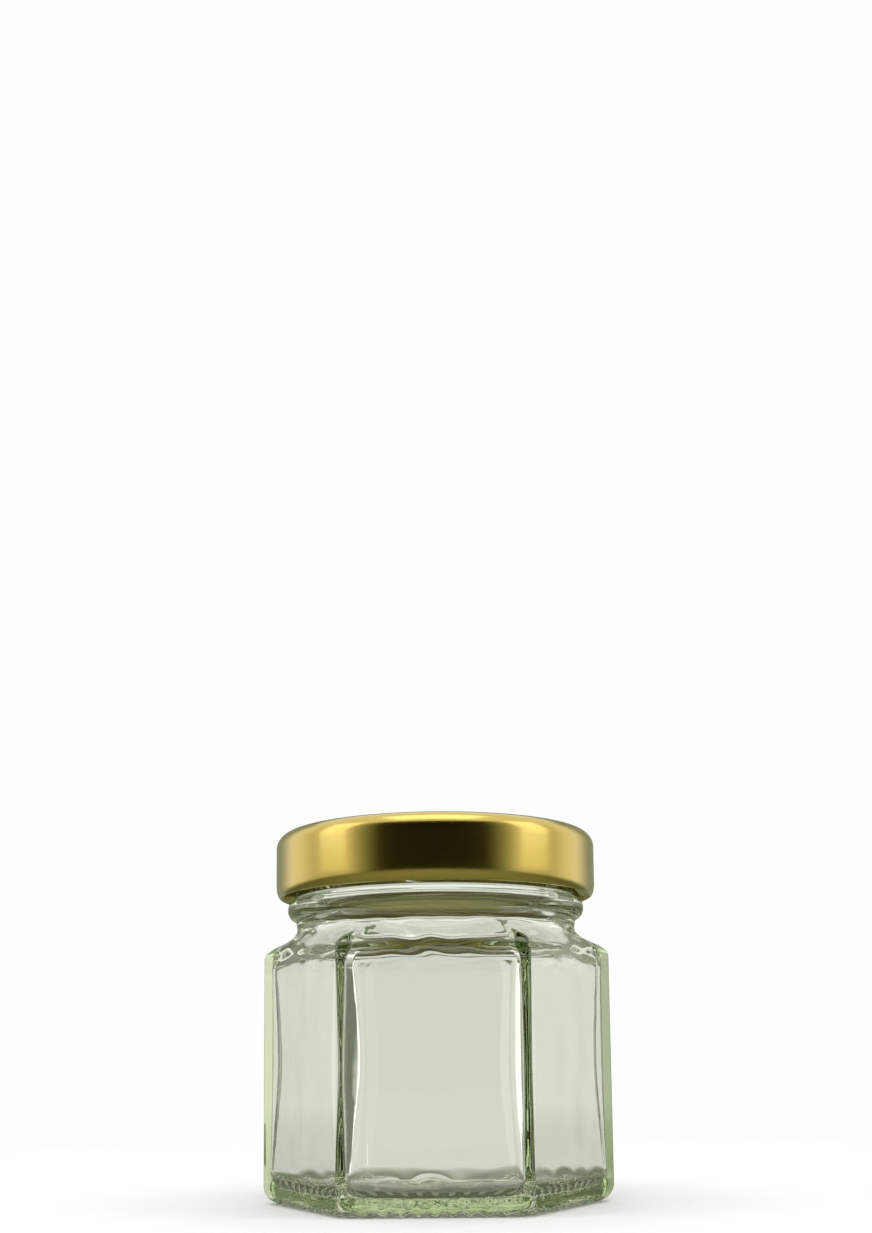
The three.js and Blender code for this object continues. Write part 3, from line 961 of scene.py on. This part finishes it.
def floor_card(name, radius, ahead, shades, rays):
    """shades are stops (metres from its middle, brightness), and the last one fades out."""
    mesh = disc_mesh(name, radius, CARD_HEIGHT, CARD_STEPS)
    material = new_material(name)
    tree = material.node_tree
    places = add_node(tree, "ShaderNodeTexCoord")
    far = add_node(tree, "ShaderNodeVectorMath", {"operation": "LENGTH"}, i0=places.outputs["Object"])
    share = add_node(tree, "ShaderNodeMath", {"operation": "DIVIDE"},
                     i0=far.outputs["Value"], i1=radius)
    glow(tree, share.outputs[0], shades, 0, radius, fades=True)
    mesh.materials.append(material)
    stage_card(name, mesh, rays, ahead)


# %% [markdown]
# What the lid and the glass mirror is dark behind the camera and bright at both sides. What shines
# through is bright straight behind the jar and dark where a corner bends the view to, which draws
# the corners as dark strips. A thin bright stripe beside each dark stretch gives the lines at the
# edges of the front panel. Left and right differ, because the corners do. The card under the jar
# carries a painted shadow of the jar, darkest in a ring below the rim of the floor, which draws the
# soft grey band at the foot of the panel.

# %% Studio: light and dark in their places
studio_ring("mirrored_room", 1.0, -0.5, 0.9, both_sides(
    ((0, 0.005), (38, 0.01), (50, 0.3), (63, 0.85), (72, 0.75), (92, 0.65), (106, 1.0), (120, 1.05),
     (134, 0.5), (145, 0.3), (180, 0.3))), "mirrored")
studio_ring("room_seen_through", 1.1, -0.2, 1.3, (
    (-180, 0.7), (-176, 0.7), (-172, 0.74), (-158, 0.74), (-157, 1.6), (-155.3, 1.6), (-154, 0.12),
    (-126, 0.12), (-121, 0.45), (-108, 0.36), (-103, 0.2), (-97, 0.6), (-80, 0.7),
    (80, 0.7), (97, 0.6), (103, 0.2), (110, 0.8), (122, 0.8), (126, 0.22),
    (155.4, 0.22), (156.2, 1.6), (157, 1.6), (157.8, 0.79), (172, 0.79), (176, 0.7), (180, 0.7)),
    "through")
floor_card("mirrored_floor", 0.7, 0.25, (
    (0, 0.36), (0.15, 0.32), (0.34, 0.14), (0.44, 0.3), (0.7, 0.6)), "mirrored")
# Painted shadow: this card is pale floor at its edge and darkens to a painted shadow under the jar.
floor_card("floor_and_painted_shadow_seen_through", 0.07, 0.0, (
    (0, 0.3), (0.008, 0.26), (0.014, 0.1), (0.022, 0.1), (0.03, 0.45), (0.038, 0.7), (0.07, 0.7)),
    "through")

# %% [markdown]
# Rings and cards light no matt surface. The floor with its shadow, the lining and the seal need
# lamps: a weak soft box at each side and a wider one above, as for a catalogue photograph.

# %% Studio: soft lights
CENTRE = Vector((0, 0, 0.5 * LID_TOP * MM))


def soft_light(name, azimuth, elevation, distance, width, height, power):
    """Azimuth 0 is the front, and 90 is the right."""
    data = bpy.data.lights.new(name, "AREA")
    data.shape = "RECTANGLE"
    data.size, data.size_y = width, height
    data.energy = power
    light = bpy.data.objects.new(name, data)
    bpy.context.collection.objects.link(light)
    light.visible_camera = False
    a, e = math.radians(azimuth), math.radians(elevation)
    way = Vector((math.sin(a) * math.cos(e), -math.cos(a) * math.cos(e), math.sin(e)))
    light.location = CENTRE + way * distance
    light.rotation_euler = way.to_track_quat("Z", "Y").to_euler()
    print(name, "at", azimuth, "degrees round,", elevation, "up,", power, "W")


soft_light("left_softbox", -75, 28, 0.7, 0.3, 0.45, 0.45)
soft_light("right_softbox", 75, 28, 0.7, 0.3, 0.45, 0.45)
soft_light("top_softbox", 0, 75, 0.8, 0.6, 0.5, 1.0)

# %% [markdown]
# The photograph was taken from close by and a little above the jar's base, so the upright edges
# stay upright and the lid is seen from below. A shifted lens does that, with a small tilt that
# gives the rest. The lens is described in pixels of the photograph, as a fit to it gives it. The
# camera was also held half a degree off level.

# %% Camera
FRAME_HEIGHT = 1233
FOCAL_PIXELS = 1427.6
EYE_DISTANCE, EYE_HEIGHT, EYE_AZIMUTH = 205.5, 19.4, 1.1
EYE_TILT, EYE_ROLL = 7.04, 0.6
SHIFT_SIDE, SHIFT_UP = -0.001, 0.22


def make_camera():
    data = bpy.data.cameras.new("camera")
    data.sensor_width = 36.0
    data.lens = FOCAL_PIXELS / FRAME_HEIGHT * data.sensor_width
    data.shift_x, data.shift_y = SHIFT_SIDE, SHIFT_UP
    data.clip_start = 0.01
    camera = bpy.data.objects.new("camera", data)
    bpy.context.collection.objects.link(camera)
    a = math.radians(EYE_AZIMUTH)
    far = EYE_DISTANCE * MM
    camera.location = (far * math.sin(a), -far * math.cos(a), EYE_HEIGHT * MM)
    camera.rotation_euler = (math.radians(90 + EYE_TILT), math.radians(EYE_ROLL), a)
    bpy.context.scene.camera = camera
    print("lens", round(data.lens, 2), "mm, tilt", EYE_TILT, "degrees")


make_camera()

# %% [markdown]
# The Standard view keeps colours as they were picked, where a filmic one would grey the backdrop. A
# ray that enters the base meets glass many times before it leaves, and a ray cut short is black, so
# the bounces are set high. The clamp takes out the few stray bright dots that caustics leave.

# %% Colours as they are, and enough bounces for thick glass
scene = bpy.context.scene
scene.view_settings.view_transform = "Standard"
scene.cycles.max_bounces = 24
scene.cycles.transmission_bounces = 20
scene.cycles.glossy_bounces = 12
scene.cycles.diffuse_bounces = 4
scene.cycles.sample_clamp_indirect = 6.0
print("bounces through glass", scene.cycles.transmission_bounces)
